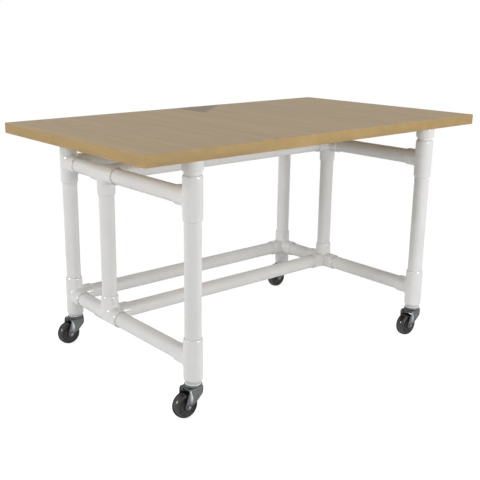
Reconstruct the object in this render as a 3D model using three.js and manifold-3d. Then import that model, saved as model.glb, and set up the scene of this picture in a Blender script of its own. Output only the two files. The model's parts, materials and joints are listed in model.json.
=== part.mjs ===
// Assembly table: a wooden worktop on a frame of white plastic pipe and socket fittings, on four swivel casters.
// Millimetres, +Z up. X runs along the worktop and Y from the open front to the back.
// The origin is on the floor, under the middle of the worktop.

import * as THREE from 'three';
import { mergeVertices } from 'three/addons/utils/BufferGeometryUtils.js';
import Module from 'manifold-3d';

// Worktop
const TABLE_HEIGHT = 768;
const TOP_LENGTH = 1356;
const TOP_WIDTH = 783;
const TOP_THICKNESS = 32.5;
const TOP_EDGE_EASE = 2;

// Where the legs stand under the worktop, measured to the leg axes
const END_OVERHANG = 187;
const FRONT_OVERHANG = 54;
const BACK_OVERHANG = 62;
const MIDDLE_LEG_SETBACK = 231;

// Pipe
const PIPE_OD = 48.3;
const PIPE_WALL = 3.7;

// Socket fittings
const SOCKET_WALL = 3.6;
const SOCKET_PLAY = 0.25;
const SOCKET_DEPTH = 34;
const SEAT_PLAY = 0.3;
const TEE_RUN_LAND = 4.5;
const OUTLET_LAND = 8;
const LIP_LENGTH = 7;
const LIP_DROP = 2.4;

// Table caps and the pipe that shows above and below the corner fittings
const CAP_HEIGHT = 34;
const CAP_WALL = 4.8;
const CAP_ROOF = 5;
const CAP_EASE = 2.5;
const RISER_SHOW = 7;
const FOOT_SHOW = 6.5;

// Caster plugs
const CASTER_HEIGHT = 97.2;
const PLUG_FLANGE = 2.5;
const PLUG_DEPTH = 36;
const PLUG_PLAY = 0.3;

// Caster wheels
const WHEEL_DIAMETER = 76.5;
const WHEEL_WIDTH = 32;
const TREAD_ROUND = 10;
const RIM_SLOPE = 2;
const WEB_RECESS = 4.5;
const HUB_DIAMETER = 24;
const HUB_PROUD = 0.5;
const CASTER_TRAIL = 30;

// Caster forks
const FORK_SHEET = 2.5;
const FORK_BEND = 5;
const FORK_NOSE = 21.5;
const FORK_HEEL = 29.5;
const CROWN_WIDTH = 48;
const CHEEK_NOSE_DROP = 14;
const CHEEK_KNEE_X = 2;
const CHEEK_KNEE_RISE = 5.75;
const FORK_SIDE_PLAY = 0.5;
const AXLE_BOSS = 19;
const BEAD_TOP_WIDTH = 10;
const BEAD_PROUD = 3.5;
const RACE_DIAMETER = 53;
const RACE_HEIGHT = 6.9;
const RACE_EASE = 1.5;
const RACE_PLAY = 0.3;
const STEM_DIAMETER = 11;
const STEM_PLAY = 0.3;
const STEM_HEADROOM = 4;

// Caster axles
const AXLE_DIAMETER = 8;
const AXLE_PLAY = 0.3;
const BOLT_HEAD_WIDTH = 13;
const BOLT_HEAD_DEPTH = 4.5;
const SPOT_FACE_PLAY = 0.8;

// Facets
const PIPE_SIDES = 16;
const WHEEL_SIDES = 16;
const STEM_SIDES = 8;
const HEX_SIDES = 6;
const ARC_STEPS = 2;

// Places worked out from the driving dimensions
const PIPE_RADIUS = PIPE_OD / 2;
const PIPE_BORE_RADIUS = PIPE_RADIUS - PIPE_WALL;
const SOCKET_RADIUS = PIPE_RADIUS + SOCKET_PLAY;
const FITTING_RADIUS = SOCKET_RADIUS + SOCKET_WALL;
const TEE_RUN_SEAT = PIPE_RADIUS + TEE_RUN_LAND;
const OUTLET_SEAT = PIPE_RADIUS + OUTLET_LAND;
const TEE_RUN_REACH = TEE_RUN_SEAT + SOCKET_DEPTH;
const OUTLET_REACH = OUTLET_SEAT + SOCKET_DEPTH;
const CORNER_REACH = Math.max(TEE_RUN_REACH, OUTLET_REACH);

const LEG_X = TOP_LENGTH / 2 - END_OVERHANG;
const FRONT_LEG_Y = FRONT_OVERHANG - TOP_WIDTH / 2;
const BACK_LEG_Y = TOP_WIDTH / 2 - BACK_OVERHANG;
const MIDDLE_LEG_Y = BACK_LEG_Y - MIDDLE_LEG_SETBACK;
const TOP_UNDERSIDE = TABLE_HEIGHT - TOP_THICKNESS;
const CAP_BOTTOM = TOP_UNDERSIDE - CAP_HEIGHT;
const TOP_RAIL_Z = CAP_BOTTOM - RISER_SHOW - CORNER_REACH;
const FOOT_END = CASTER_HEIGHT + PLUG_FLANGE;
const BOTTOM_RAIL_Z = CASTER_HEIGHT + FOOT_SHOW + CORNER_REACH;

const WHEEL_RADIUS = WHEEL_DIAMETER / 2;
const FORK_GAP = WHEEL_WIDTH + 2 * (HUB_PROUD + FORK_SIDE_PLAY);
const FORK_WIDTH = FORK_GAP + 2 * FORK_SHEET;
const FORK_TOP = CASTER_HEIGHT - RACE_PLAY - RACE_HEIGHT;
const BEND_START = FORK_TOP - FORK_BEND;
const CHEEK_KNEE_Z = WHEEL_RADIUS + CHEEK_KNEE_RISE;
const CHEEK_LEAN = Math.atan2((CROWN_WIDTH - FORK_WIDTH) / 2, BEND_START - WHEEL_RADIUS);
const AXLE_RADIUS = AXLE_DIAMETER / 2;
const STEM_RADIUS = STEM_DIAMETER / 2;

const X_AXIS = new THREE.Vector3(1, 0, 0);
const Y_AXIS = new THREE.Vector3(0, 1, 0);
const Z_AXIS = new THREE.Vector3(0, 0, 1);
const UP = Z_AXIS;
const DOWN = Z_AXIS.clone().negate();
const BACKWARD = Y_AXIS;
const FORWARD = Y_AXIS.clone().negate();

const SIDES = [
  { side: 'left', x: -LEG_X, inward: X_AXIS },
  { side: 'right', x: LEG_X, inward: X_AXIS.clone().negate() },
];

// Finishes
const WOOD = new THREE.MeshStandardMaterial({ color: 0xb89a6a, roughness: 0.55 });
const WHITE_PIPE = new THREE.MeshStandardMaterial({ color: 0xe4e4e1, roughness: 0.3 });
const DARK_STEEL = new THREE.MeshStandardMaterial({ color: 0x555b59, roughness: 0.35, metalness: 0.8 });
const BRIGHT_STEEL = new THREE.MeshStandardMaterial({ color: 0x9c9c9a, roughness: 0.3, metalness: 0.9 });
const BLACK_RUBBER = new THREE.MeshStandardMaterial({ color: 0x1d1d1d, roughness: 0.4 });

const wasm = await Module();
wasm.setup();

const table = new THREE.Group();

// A closed geometry as a solid that can be joined and cut
function solidOf(geometry) {
  const bare = geometry.clone();
  bare.deleteAttribute('normal');
  bare.deleteAttribute('uv');
  const merged = mergeVertices(bare);
  const mesh = new wasm.Mesh({
    numProp: 3,
    vertProperties: new Float32Array(merged.attributes.position.array),
    triVerts: new Uint32Array(merged.index.array),
  });
  return new wasm.Manifold(mesh);
}

// A joined or cut solid as a geometry again
function geometryOf(solid) {
  const mesh = solid.getMesh();
  const geometry = new THREE.BufferGeometry();
  geometry.setAttribute('position', new THREE.BufferAttribute(mesh.vertProperties, 3));
  geometry.setIndex(new THREE.BufferAttribute(mesh.triVerts, 1));
  geometry.computeVertexNormals();
  return geometry;
}

function joined(geometries) {
  return geometries.map(solidOf).reduce((whole, piece) => whole.add(piece));
}

// A turned shape about Z, from pairs of radius and height that run anticlockwise
function turned(profile, sides) {
  const points = profile.map(([radius, height]) => new THREE.Vector2(radius, height));
  return new THREE.LatheGeometry(points, sides).rotateX(Math.PI / 2);
}

// A turned ring, whose profile closes on itself
function turnedRing(profile, sides) {
  return turned([...profile, profile[0]], sides);
}

function extruded(outline, depth) {
  return new THREE.ExtrudeGeometry(outline, { depth, bevelEnabled: false, curveSegments: ARC_STEPS });
}

function addPiece(name, geometry, material, position) {
  const piece = new THREE.Mesh(geometry, material);
  piece.name = name;
  piece.position.copy(position);
  table.add(piece);
  return piece;
}

// Worktop

function worktopGeometry() {
  const halfLength = TOP_LENGTH / 2 - TOP_EDGE_EASE;
  const halfWidth = TOP_WIDTH / 2 - TOP_EDGE_EASE;
  const outline = new THREE.Shape();
  outline.moveTo(-halfLength, -halfWidth);
  outline.lineTo(halfLength, -halfWidth);
  outline.lineTo(halfLength, halfWidth);
  outline.lineTo(-halfLength, halfWidth);
  outline.closePath();
  const slab = new THREE.ExtrudeGeometry(outline, {
    depth: TOP_THICKNESS - 2 * TOP_EDGE_EASE,
    bevelSize: TOP_EDGE_EASE,
    bevelThickness: TOP_EDGE_EASE,
    bevelSegments: 1,
  });
  return slab.translate(0, 0, TOP_EDGE_EASE);
}

addPiece('worktop', worktopGeometry(), WOOD, new THREE.Vector3(0, 0, TOP_UNDERSIDE));

// Socket fittings: a straight run with one or two outlets, each end with a tapered lip and a pipe socket

// The outer half profile of one end, outwards from the middle of the fitting
function endProfile(reach) {
  return [
    [FITTING_RADIUS, reach - LIP_LENGTH],
    [FITTING_RADIUS - LIP_DROP, reach],
    [0, reach],
  ];
}

function turnedRun(reach) {
  const upper = endProfile(reach);
  const lower = upper.map(([radius, height]) => [radius, -height]).reverse();
  return turned([...lower, ...upper], PIPE_SIDES);
}

function turnedOutlet(reach) {
  return turned([[0, 0], [FITTING_RADIUS, 0], ...endProfile(reach)], PIPE_SIDES);
}

// The space that a pipe fills, from its stop to past the lip
function turnedSocket(reach) {
  const stop = reach - SOCKET_DEPTH;
  const mouth = reach + LIP_LENGTH;
  return turned([[0, stop], [SOCKET_RADIUS, stop], [SOCKET_RADIUS, mouth], [0, mouth]], PIPE_SIDES);
}

function pointed(geometry, way) {
  const turn = new THREE.Quaternion().setFromUnitVectors(Z_AXIS, way);
  return geometry.applyQuaternion(turn);
}

function fittingGeometry(runReach, outletReach, outletWays) {
  const outlets = outletWays.map((way) => pointed(turnedOutlet(outletReach), way));
  const outletSockets = outletWays.map((way) => pointed(turnedSocket(outletReach), way));
  const runSockets = [UP, DOWN].map((way) => pointed(turnedSocket(runReach), way));
  const body = joined([turnedRun(runReach), ...outlets]);
  return geometryOf(body.subtract(joined([...runSockets, ...outletSockets])));
}

const teeGeometry = fittingGeometry(TEE_RUN_REACH, OUTLET_REACH, [BACKWARD]);
const sideOutletTeeGeometry = fittingGeometry(CORNER_REACH, CORNER_REACH, [X_AXIS, Y_AXIS]);

// The run of a side-outlet tee lies square to its two outlets
function addSideOutletTee(name, position, firstOutlet, secondOutlet) {
  const fitting = addPiece(name, sideOutletTeeGeometry, WHITE_PIPE, position);
  const run = firstOutlet.clone().cross(secondOutlet);
  const turn = new THREE.Matrix4().makeBasis(firstOutlet, secondOutlet, run);
  fitting.quaternion.setFromRotationMatrix(turn);
}

const LEVELS = [
  { level: 'top', z: TOP_RAIL_Z, legWay: DOWN },
  { level: 'bottom', z: BOTTOM_RAIL_Z, legWay: UP },
];

for (const { side, x, inward } of SIDES) {
  for (const { level, z, legWay } of LEVELS) {
    const front = new THREE.Vector3(x, FRONT_LEG_Y, z);
    const middle = new THREE.Vector3(x, MIDDLE_LEG_Y, z);
    const back = new THREE.Vector3(x, BACK_LEG_Y, z);
    addPiece(`tee_${level}_front_${side}`, teeGeometry, WHITE_PIPE, front);
    addSideOutletTee(`side_tee_${level}_middle_${side}`, middle, inward, legWay);
    addSideOutletTee(`side_tee_${level}_back_${side}`, back, inward, FORWARD);
  }
}

// Pipe between two fittings, which stops just short of the seat in each socket

function pipeGeometry(length) {
  return turnedRing([
    [PIPE_BORE_RADIUS, 0],
    [PIPE_RADIUS, 0],
    [PIPE_RADIUS, length],
    [PIPE_BORE_RADIUS, length],
  ], PIPE_SIDES);
}

function addPipe(name, from, to, fromSeat, toSeat) {
  const along = to.clone().sub(from);
  const span = along.length();
  along.normalize();
  const length = span - fromSeat - toSeat - 2 * SEAT_PLAY;
  const start = from.clone().addScaledVector(along, fromSeat + SEAT_PLAY);
  const pipe = addPiece(name, pipeGeometry(length), WHITE_PIPE, start);
  pipe.quaternion.setFromUnitVectors(Z_AXIS, along);
}

const LEGS = [
  { place: 'front', y: FRONT_LEG_Y, seat: TEE_RUN_SEAT },
  { place: 'middle', y: MIDDLE_LEG_Y, seat: CORNER_REACH - SOCKET_DEPTH },
  { place: 'back', y: BACK_LEG_Y, seat: CORNER_REACH - SOCKET_DEPTH },
];

for (const { side, x } of SIDES) {
  for (const { place, y, seat } of LEGS) {
    const bottom = new THREE.Vector3(x, y, BOTTOM_RAIL_Z);
    const top = new THREE.Vector3(x, y, TOP_RAIL_Z);
    addPipe(`leg_${place}_${side}`, bottom, top, seat, seat);
  }
}

for (const { level, z } of LEVELS) {
  const cornerSeat = CORNER_REACH - SOCKET_DEPTH;
  for (const { side, x } of SIDES) {
    const front = new THREE.Vector3(x, FRONT_LEG_Y, z);
    const middle = new THREE.Vector3(x, MIDDLE_LEG_Y, z);
    const back = new THREE.Vector3(x, BACK_LEG_Y, z);
    addPipe(`end_rail_${level}_front_${side}`, front, middle, OUTLET_SEAT, cornerSeat);
    addPipe(`end_rail_${level}_back_${side}`, middle, back, cornerSeat, cornerSeat);
  }
  for (const { place, y } of LEGS.slice(1)) {
    const left = new THREE.Vector3(-LEG_X, y, z);
    const right = new THREE.Vector3(LEG_X, y, z);
    addPipe(`long_rail_${level}_${place}`, left, right, cornerSeat, cornerSeat);
  }
}

// Risers and table caps over the corner legs

const capGeometry = turned([
  [0, CAP_HEIGHT - CAP_ROOF],
  [SOCKET_RADIUS, CAP_HEIGHT - CAP_ROOF],
  [SOCKET_RADIUS, 0],
  [SOCKET_RADIUS + CAP_WALL - CAP_EASE, 0],
  [SOCKET_RADIUS + CAP_WALL, CAP_EASE],
  [SOCKET_RADIUS + CAP_WALL, CAP_HEIGHT],
  [0, CAP_HEIGHT],
], PIPE_SIDES);

const CORNER_LEGS = LEGS.filter(({ place }) => place !== 'middle');

for (const { side, x } of SIDES) {
  for (const { place, y, seat } of CORNER_LEGS) {
    const fitting = new THREE.Vector3(x, y, TOP_RAIL_Z);
    const roof = new THREE.Vector3(x, y, TOP_UNDERSIDE - CAP_ROOF);
    addPipe(`riser_${place}_${side}`, fitting, roof, seat, 0);
    addPiece(`cap_${place}_${side}`, capGeometry, WHITE_PIPE, new THREE.Vector3(x, y, CAP_BOTTOM));
  }
}

// Foot pipes, and the plugs in them that take the caster stems

const plugGeometry = turnedRing([
  [STEM_RADIUS + STEM_PLAY, 0],
  [PIPE_RADIUS, 0],
  [PIPE_RADIUS, PLUG_FLANGE - SEAT_PLAY],
  [PIPE_BORE_RADIUS - PLUG_PLAY, PLUG_FLANGE - SEAT_PLAY],
  [PIPE_BORE_RADIUS - PLUG_PLAY, PLUG_DEPTH],
  [STEM_RADIUS + STEM_PLAY, PLUG_DEPTH],
], PIPE_SIDES);

for (const { side, x } of SIDES) {
  for (const { place, y, seat } of CORNER_LEGS) {
    const fitting = new THREE.Vector3(x, y, BOTTOM_RAIL_Z);
    const end = new THREE.Vector3(x, y, FOOT_END - SEAT_PLAY);
    addPipe(`foot_pipe_${place}_${side}`, fitting, end, seat, 0);
    addPiece(`caster_plug_${place}_${side}`, plugGeometry, WHITE_PIPE, new THREE.Vector3(x, y, CASTER_HEIGHT));
  }
}

// Caster parts stand on the floor at the swivel axis, with the wheel trailing towards -X

// The bent channel of the fork, seen along X: a flat crown over two cheeks that lean in towards the axle
function forkChannel() {
  const half = FORK_WIDTH / 2;
  const inner = FORK_GAP / 2;
  const crownHalf = CROWN_WIDTH / 2;
  const crownInner = crownHalf - FORK_SHEET;
  const innerBend = FORK_BEND - FORK_SHEET;
  const ceiling = FORK_TOP - FORK_SHEET;
  const outline = new THREE.Shape();
  outline.moveTo(half, 0);
  outline.lineTo(half, WHEEL_RADIUS);
  outline.lineTo(crownHalf, BEND_START);
  outline.quadraticCurveTo(crownHalf, FORK_TOP, crownHalf - FORK_BEND, FORK_TOP);
  outline.lineTo(FORK_BEND - crownHalf, FORK_TOP);
  outline.quadraticCurveTo(-crownHalf, FORK_TOP, -crownHalf, BEND_START);
  outline.lineTo(-half, WHEEL_RADIUS);
  outline.lineTo(-half, 0);
  outline.lineTo(-inner, 0);
  outline.lineTo(-inner, WHEEL_RADIUS);
  outline.lineTo(-crownInner, BEND_START);
  outline.quadraticCurveTo(-crownInner, ceiling, innerBend - crownInner, ceiling);
  outline.lineTo(crownInner - innerBend, ceiling);
  outline.quadraticCurveTo(crownInner, ceiling, crownInner, BEND_START);
  outline.lineTo(inner, WHEEL_RADIUS);
  outline.lineTo(inner, 0);
  outline.closePath();
  const reach = 2 * (CASTER_TRAIL + AXLE_BOSS + FORK_NOSE);
  const channel = extruded(outline, reach).translate(0, 0, -reach / 2);
  return channel.rotateX(Math.PI / 2).rotateZ(Math.PI / 2);
}

// The side outline of the fork: crown above, and a cheek that narrows to a round boss at the axle
function forkSideOutline() {
  const boss = AXLE_BOSS / 2;
  const outline = new THREE.Shape();
  outline.moveTo(FORK_NOSE, FORK_TOP);
  outline.lineTo(-FORK_HEEL, FORK_TOP);
  outline.lineTo(-CASTER_TRAIL - boss, WHEEL_RADIUS);
  outline.absarc(-CASTER_TRAIL, WHEEL_RADIUS, boss, Math.PI, 2 * Math.PI);
  outline.quadraticCurveTo(CHEEK_KNEE_X, CHEEK_KNEE_Z, FORK_NOSE, FORK_TOP - CHEEK_NOSE_DROP);
  outline.closePath();
  const depth = 2 * CROWN_WIDTH;
  return extruded(outline, depth).translate(0, 0, -depth / 2).rotateX(Math.PI / 2);
}

// A bead pressed out of a cheek, widest round the axle and narrowing towards the crown
function forkBead(way) {
  const boss = AXLE_BOSS / 2;
  const corner = boss * Math.SQRT1_2;
  const top = BEND_START - WHEEL_RADIUS;
  const bead = turned([
    [0, -boss],
    [corner, -corner],
    [boss, 0],
    [BEAD_TOP_WIDTH / 2, top],
    [0, top],
  ], STEM_SIDES);
  bead.scale(1, BEAD_PROUD / boss, 1).rotateX(-way * CHEEK_LEAN);
  return bead.translate(-CASTER_TRAIL, way * FORK_WIDTH / 2, WHEEL_RADIUS);
}

// The round swivel race on the crown
function forkRace() {
  const edge = RACE_DIAMETER / 2;
  const top = FORK_TOP + RACE_HEIGHT;
  return turned([
    [0, FORK_TOP],
    [edge, FORK_TOP],
    [edge, top - RACE_EASE],
    [edge - RACE_EASE, top],
    [0, top],
  ], PIPE_SIDES);
}

function forkStem() {
  const end = CASTER_HEIGHT + PLUG_DEPTH - STEM_HEADROOM;
  return turned([[0, FORK_TOP], [STEM_RADIUS, FORK_TOP], [STEM_RADIUS, end], [0, end]], STEM_SIDES);
}

// A bar along Y through the axle, centred on the wheel
function axleBar(radius, length, sides) {
  return turned([
    [0, -length / 2],
    [radius, -length / 2],
    [radius, length / 2],
    [0, length / 2],
  ], sides).rotateX(Math.PI / 2).translate(-CASTER_TRAIL, 0, WHEEL_RADIUS);
}

function forkGeometry() {
  const plate = solidOf(forkChannel()).intersect(solidOf(forkSideOutline()));
  const beads = joined([forkBead(1), forkBead(-1)]);
  const wheelGap = new THREE.BoxGeometry(4 * CASTER_TRAIL, FORK_GAP, 4 * WHEEL_RADIUS);
  const spotFace = axleBar(BOLT_HEAD_WIDTH / 2 + SPOT_FACE_PLAY, 2 * FORK_WIDTH, STEM_SIDES);
  const spotFaceEnd = axleBar(AXLE_BOSS, FORK_WIDTH, STEM_SIDES);
  const boltSeats = solidOf(spotFace).subtract(solidOf(spotFaceEnd));
  const axleHole = solidOf(axleBar(AXLE_RADIUS + AXLE_PLAY, 2 * FORK_WIDTH, STEM_SIDES));
  const cheeks = plate.add(beads.subtract(solidOf(wheelGap))).subtract(boltSeats).subtract(axleHole);
  return geometryOf(cheeks.add(joined([forkRace(), forkStem()])));
}

function wheelGeometry() {
  const half = WHEEL_WIDTH / 2;
  const rim = WHEEL_RADIUS - TREAD_ROUND - RIM_SLOPE;
  const hub = HUB_DIAMETER / 2;
  const bore = AXLE_RADIUS + AXLE_PLAY;
  const shoulder = TREAD_ROUND * (1 - Math.SQRT1_2);
  const profile = [
    [bore, -half - HUB_PROUD],
    [hub, -half - HUB_PROUD],
    [hub, -half + WEB_RECESS],
    [rim, -half + WEB_RECESS],
    [WHEEL_RADIUS - TREAD_ROUND, -half],
    [WHEEL_RADIUS - shoulder, -half + shoulder],
    [WHEEL_RADIUS, -half + TREAD_ROUND],
  ];
  const mirrored = profile.map(([radius, height]) => [radius, -height]).reverse();
  const wheel = turnedRing([...profile, ...mirrored], WHEEL_SIDES);
  return wheel.rotateX(Math.PI / 2).translate(-CASTER_TRAIL, 0, WHEEL_RADIUS);
}

function axleGeometry() {
  const headSeat = FORK_WIDTH / 2 + SEAT_PLAY;
  const shank = axleBar(AXLE_RADIUS, 2 * (headSeat + BOLT_HEAD_DEPTH), STEM_SIDES);
  const headOffset = headSeat + BOLT_HEAD_DEPTH / 2;
  const head = axleBar(BOLT_HEAD_WIDTH / 2, BOLT_HEAD_DEPTH, HEX_SIDES).translate(0, -headOffset, 0);
  const nut = axleBar(BOLT_HEAD_WIDTH / 2, BOLT_HEAD_DEPTH, HEX_SIDES).translate(0, headOffset, 0);
  return geometryOf(joined([shank, head, nut]));
}

const casterParts = [
  { part: 'caster_fork', geometry: forkGeometry(), material: DARK_STEEL },
  { part: 'caster_wheel', geometry: wheelGeometry(), material: BLACK_RUBBER },
  { part: 'caster_axle', geometry: axleGeometry(), material: BRIGHT_STEEL },
];

for (const { side, x } of SIDES) {
  for (const { place, y } of CORNER_LEGS) {
    for (const { part, geometry, material } of casterParts) {
      addPiece(`${part}_${place}_${side}`, geometry, material, new THREE.Vector3(x, y, 0));
    }
  }
}

export default table;
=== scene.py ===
# %% [markdown]
# # An assembly table on casters
#
# The table is a thick wooden worktop on a frame of white plastic pipe, which is pushed into moulded
# socket fittings, and it rolls on four swivel casters. The CAD model already has every piece at its
# true size and place. This lesson loads it as a fixed frame and makes a finished piece for each
# part of it. The sizes come from the frame, so nothing has to be fitted by eye.

# %% Load the frame
import json
import math

import bmesh
import bpy
import numpy as np
from mathutils import Matrix, Vector

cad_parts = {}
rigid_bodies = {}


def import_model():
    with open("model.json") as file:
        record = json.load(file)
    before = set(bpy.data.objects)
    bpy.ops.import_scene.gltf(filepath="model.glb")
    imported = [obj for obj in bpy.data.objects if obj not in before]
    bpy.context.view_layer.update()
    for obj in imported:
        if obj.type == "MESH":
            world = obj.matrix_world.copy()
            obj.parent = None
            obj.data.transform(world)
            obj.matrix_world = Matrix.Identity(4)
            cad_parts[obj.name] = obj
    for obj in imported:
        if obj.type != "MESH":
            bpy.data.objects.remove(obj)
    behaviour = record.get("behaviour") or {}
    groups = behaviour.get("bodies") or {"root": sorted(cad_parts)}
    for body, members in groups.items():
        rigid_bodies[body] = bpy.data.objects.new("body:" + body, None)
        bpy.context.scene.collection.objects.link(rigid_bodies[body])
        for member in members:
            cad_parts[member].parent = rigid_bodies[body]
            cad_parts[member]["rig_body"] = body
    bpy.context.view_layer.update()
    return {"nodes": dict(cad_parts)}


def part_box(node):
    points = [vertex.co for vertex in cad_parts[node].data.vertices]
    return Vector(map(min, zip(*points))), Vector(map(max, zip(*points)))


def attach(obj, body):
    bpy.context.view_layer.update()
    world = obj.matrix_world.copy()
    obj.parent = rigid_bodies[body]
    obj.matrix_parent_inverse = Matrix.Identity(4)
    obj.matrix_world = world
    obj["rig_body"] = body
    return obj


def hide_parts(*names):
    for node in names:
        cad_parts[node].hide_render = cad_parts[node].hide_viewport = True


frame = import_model()
bpy.ops.object.select_all(action="DESELECT")
MM = 0.001

# %% [markdown]
# ## The camera
#
# The photograph was taken from the front left, a little above the worktop. A camera could be placed
# by eye, but this one was solved from the corners of the worktop and the lines of the pipes, lens
# and all. The object isn't in the middle of the picture, so the lens is shifted, as on a view
# camera.

# %% Camera
IMAGE_SIDE = 480
FOCAL_PIXELS = 781.177
VIEW_CENTRE = (200.037, 235.146)
CAMERA_PLACE = (-1.7127, -1.9300, 1.0824)
CAMERA_DIP = 0.27
CAMERA_TURN = -0.664
SENSOR = 36

scene = bpy.context.scene
scene.view_settings.view_transform = "Standard"
bpy.ops.object.camera_add(
    location=CAMERA_PLACE, rotation=(math.pi / 2 - CAMERA_DIP, 0, CAMERA_TURN)
)
camera = bpy.context.object
camera.name = "camera"
camera.data.sensor_width = SENSOR
camera.data.lens = SENSOR * FOCAL_PIXELS / IMAGE_SIDE
camera.data.shift_x = (IMAGE_SIDE / 2 - VIEW_CENTRE[0]) / IMAGE_SIDE
camera.data.shift_y = (VIEW_CENTRE[1] - IMAGE_SIDE / 2) / IMAGE_SIDE
scene.camera = camera
print("lens", round(camera.data.lens, 2), "mm")

# %% [markdown]
# ## Helpers for node trees
#
# Every finish below is a small tree of nodes. One helper adds a node, sets its options and fills
# its sockets: a socket is linked, and anything else is a plain value. Two more shorten the
# commonest nodes, and the last one tells whether a surface is looked at, directly or in a mirror.

# %% Node helpers
def add_node(tree, kind, inputs=None, **options):
    node = tree.nodes.new(kind)
    for option, value in options.items():
        setattr(node, option, value)
    for socket, value in (inputs or {}).items():
        if isinstance(value, bpy.types.NodeSocket):
            tree.links.new(value, node.inputs[socket])
        else:
            node.inputs[socket].default_value = value
    return node


def math_node(tree, operation, first, second=0.0, third=0.0):
    inputs = {0: first, 1: second, 2: third}
    return add_node(tree, "ShaderNodeMath", inputs, operation=operation).outputs[0]


def map_range(tree, value, start, end, low=0.0, high=1.0, curve="LINEAR"):
    inputs = {"Value": value, "From Min": start, "From Max": end, "To Min": low, "To Max": high}
    return add_node(tree, "ShaderNodeMapRange", inputs, interpolation_type=curve).outputs[0]


def seen_directly(tree):
    path = add_node(tree, "ShaderNodeLightPath").outputs
    mirrored = math_node(tree, "MAXIMUM", path["Is Glossy Ray"], path["Is Transmission Ray"])
    return math_node(tree, "MAXIMUM", path["Is Camera Ray"], mirrored)


print("node helpers ready")

# %% [markdown]
# ## The white studio
#
# The background is plain white. A white world as bright as that would burn out the pale plastic, so
# a light path switch shows white to the camera and to mirrored rays, while the object itself is lit
# by a weaker sky. It is brightest near the horizon, like the walls of a studio.

# %% World
WHITE = (1, 1, 1, 1)
SKY_LOW = 0.94
SKY_HIGH = 0.10
LOW_RISE = 0.1
HIGH_RISE = 0.8

world = bpy.data.worlds.new("studio")
scene.world = world
world.use_nodes = True
sky = world.node_tree
sky.nodes.clear()
way = add_node(sky, "ShaderNodeTexCoord").outputs["Generated"]
rise = add_node(sky, "ShaderNodeSeparateXYZ", {"Vector": way}).outputs["Z"]
level = map_range(sky, rise, LOW_RISE, HIGH_RISE, SKY_LOW, SKY_HIGH)
soft = add_node(sky, "ShaderNodeBackground", {"Color": WHITE, "Strength": level}).outputs[0]
plain = add_node(sky, "ShaderNodeBackground", {"Color": WHITE, "Strength": 1.0}).outputs[0]
sky_mix = add_node(sky, "ShaderNodeMixShader", {0: seen_directly(sky), 1: soft, 2: plain})
add_node(sky, "ShaderNodeOutputWorld", {"Surface": sky_mix.outputs[0]})
print("sky strength", SKY_LOW, "low,", SKY_HIGH, "overhead")

# %% [markdown]
# Three more helpers are needed from here on: a noise, a ramp of colours and a soft step.

# %% Texture helpers
def noise(tree, vector, scale, detail):
    inputs = {"Vector": vector, "Scale": scale, "Detail": detail}
    return add_node(tree, "ShaderNodeTexNoise", inputs).outputs["Fac"]


def ramp(tree, share, *stops):
    node = add_node(tree, "ShaderNodeValToRGB", {"Fac": share})
    ready = node.color_ramp.elements
    for index, (position, colour) in enumerate(stops):
        stop = ready[index] if index < len(ready) else ready.new(position)
        stop.position = position
        stop.color = (*colour[:3], 1)
    return node.outputs["Color"]


def soft_step(tree, value, start, end):
    return map_range(tree, value, start, end, curve="SMOOTHSTEP")


print("texture helpers ready")

# %% [markdown]
# The floor is a pale sweep of paper. A shadow catcher would need a second step after the render, so
# it is a plain sheet that takes the shadow of the table. It adds a little of its own white, only
# where it is looked at, and fades into the background further away.

# %% Floor
FLOOR_SIDE = 40.0
FLOOR_GREYS = ((0.0, (0.80, 0.80, 0.80)), (1.0, (0.84, 0.84, 0.84)))
FLOOR_GLOW = 0.70
FADE_START = 1.0
FADE_END = 2.6

bpy.ops.mesh.primitive_grid_add(
    x_subdivisions=8, y_subdivisions=8, size=FLOOR_SIDE, location=(0, 0, 0)
)
floor = bpy.context.object
floor.name = "floor"
floor_finish = bpy.data.materials.new("pale_floor")
floor_finish.use_nodes = True
tree = floor_finish.node_tree
tree.nodes.clear()
place = add_node(tree, "ShaderNodeTexCoord").outputs["Object"]
tone = ramp(tree, noise(tree, place, scale=3.0, detail=3.0), *FLOOR_GREYS)
matt = add_node(tree, "ShaderNodeBsdfDiffuse", {"Color": tone}).outputs[0]
glow_level = math_node(tree, "MULTIPLY", seen_directly(tree), FLOOR_GLOW)
glow = add_node(tree, "ShaderNodeEmission", {"Color": WHITE, "Strength": glow_level}).outputs[0]
near = add_node(tree, "ShaderNodeAddShader", {0: matt, 1: glow}).outputs[0]
away = add_node(tree, "ShaderNodeVectorMath", {0: place}, operation="LENGTH").outputs["Value"]
fade = soft_step(tree, away, FADE_START, FADE_END)
paper = add_node(tree, "ShaderNodeEmission", {"Color": WHITE, "Strength": 1.0}).outputs[0]
looked_at = math_node(tree, "MULTIPLY", fade, seen_directly(tree))
sweep = add_node(tree, "ShaderNodeMixShader", {0: looked_at, 1: near, 2: paper})
add_node(tree, "ShaderNodeOutputMaterial", {"Surface": sweep.outputs[0]})
floor.data.materials.append(floor_finish)
print("floor", FLOOR_SIDE, "m square")

# %% [markdown]
# ## Two soft boxes
#
# Each upright pipe shows a bright band at its left and at its right with a greyer band between
# them: the photographer had a soft lamp on either side of the camera. A sky alone would light the
# pipes evenly. One lamp stands beyond the left end of the table, and a wide one in front of it is
# close enough to give the near legs a bright right side and the far legs a bright face.

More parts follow.
